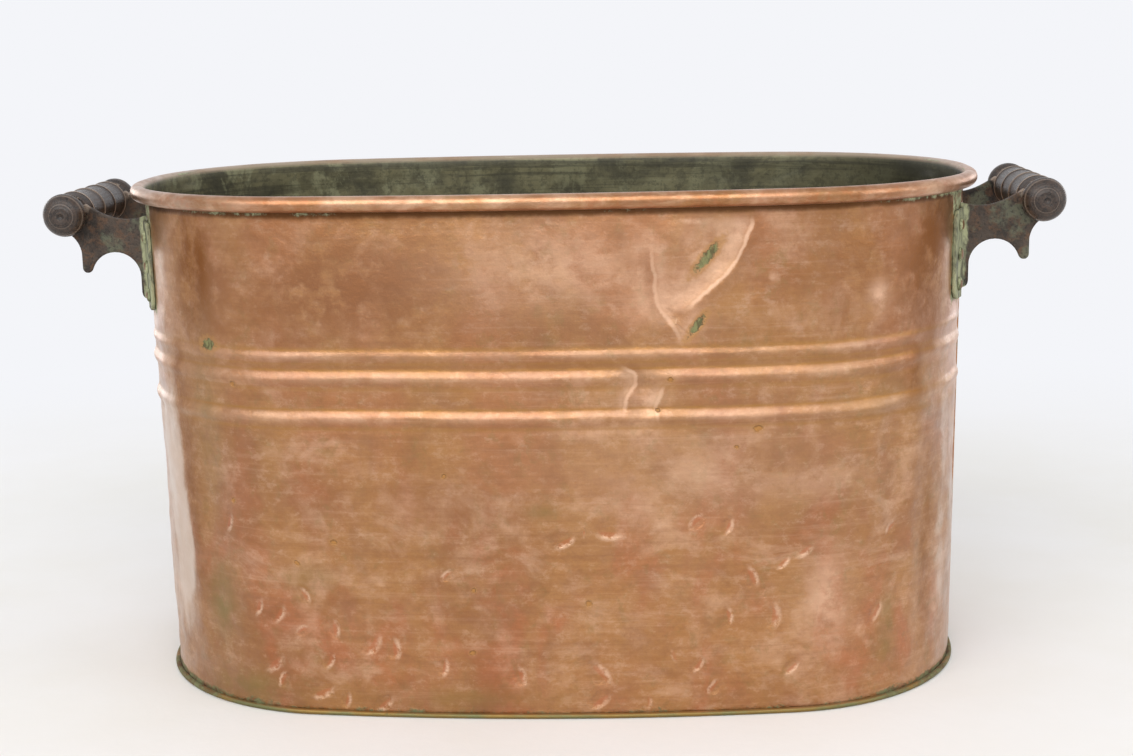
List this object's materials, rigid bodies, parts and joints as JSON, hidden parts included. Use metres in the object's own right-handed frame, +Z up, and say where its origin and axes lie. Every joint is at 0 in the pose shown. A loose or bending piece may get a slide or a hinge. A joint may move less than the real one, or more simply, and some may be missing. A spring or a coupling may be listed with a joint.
{
  "type": "wash boiler",
  "caption": "Oval copper wash boiler with a wired rim, pressed beads, a folded bottom seam, and a turned wooden grip in iron ears at each end.",
  "frame": {"origin": "On the surface that the boiler stands on, under the middle of the tub", "axes": "+X along the tub towards the right-hand grip, -Y is the front seen in the picture, +Z up"},
  "size_m": [0.659, 0.32, 0.3298],
  "materials": {
    "copper": "aged, dented, streaked with patina",
    "rivet_copper": "dull, greened at the edges",
    "rim_wire": "drawn wire",
    "ear_iron": "dark and worn, with verdigris near the wall",
    "grip_wood": "dark, worn on the turned rings"
  },
  "bodies": {
    "tub": {"front_shell": "copper", "back_shell": "copper", "bottom_pan": "copper", "rim_wire": "rim_wire", "left_front_ear": "ear_iron", "right_front_ear": "ear_iron", "left_rear_ear": "ear_iron", "right_rear_ear": "ear_iron", "left_front_rivet_upper": "rivet_copper", "left_front_rivet_middle": "rivet_copper", "left_front_rivet_lower": "rivet_copper", "right_front_rivet_upper": "rivet_copper", "right_front_rivet_middle": "rivet_copper", "right_front_rivet_lower": "rivet_copper", "left_rear_rivet_upper": "rivet_copper", "left_rear_rivet_middle": "rivet_copper", "left_rear_rivet_lower": "rivet_copper", "right_rear_rivet_upper": "rivet_copper", "right_rear_rivet_middle": "rivet_copper", "right_rear_rivet_lower": "rivet_copper"},
    "left_handle": {"left_grip": "grip_wood"},
    "right_handle": {"right_grip": "grip_wood"}
  },
  "joints": [
    {"name": "left_grip_turn", "type": "hinge", "parent": "tub", "child": "left_handle", "pos_m": [-0.3155, 0, 0.3115], "axis": [0, 1, 0], "continuous": true},
    {"name": "right_grip_turn", "type": "hinge", "parent": "tub", "child": "right_handle", "pos_m": [0.3155, 0, 0.3115], "axis": [0, 1, 0], "continuous": true}
  ]
}
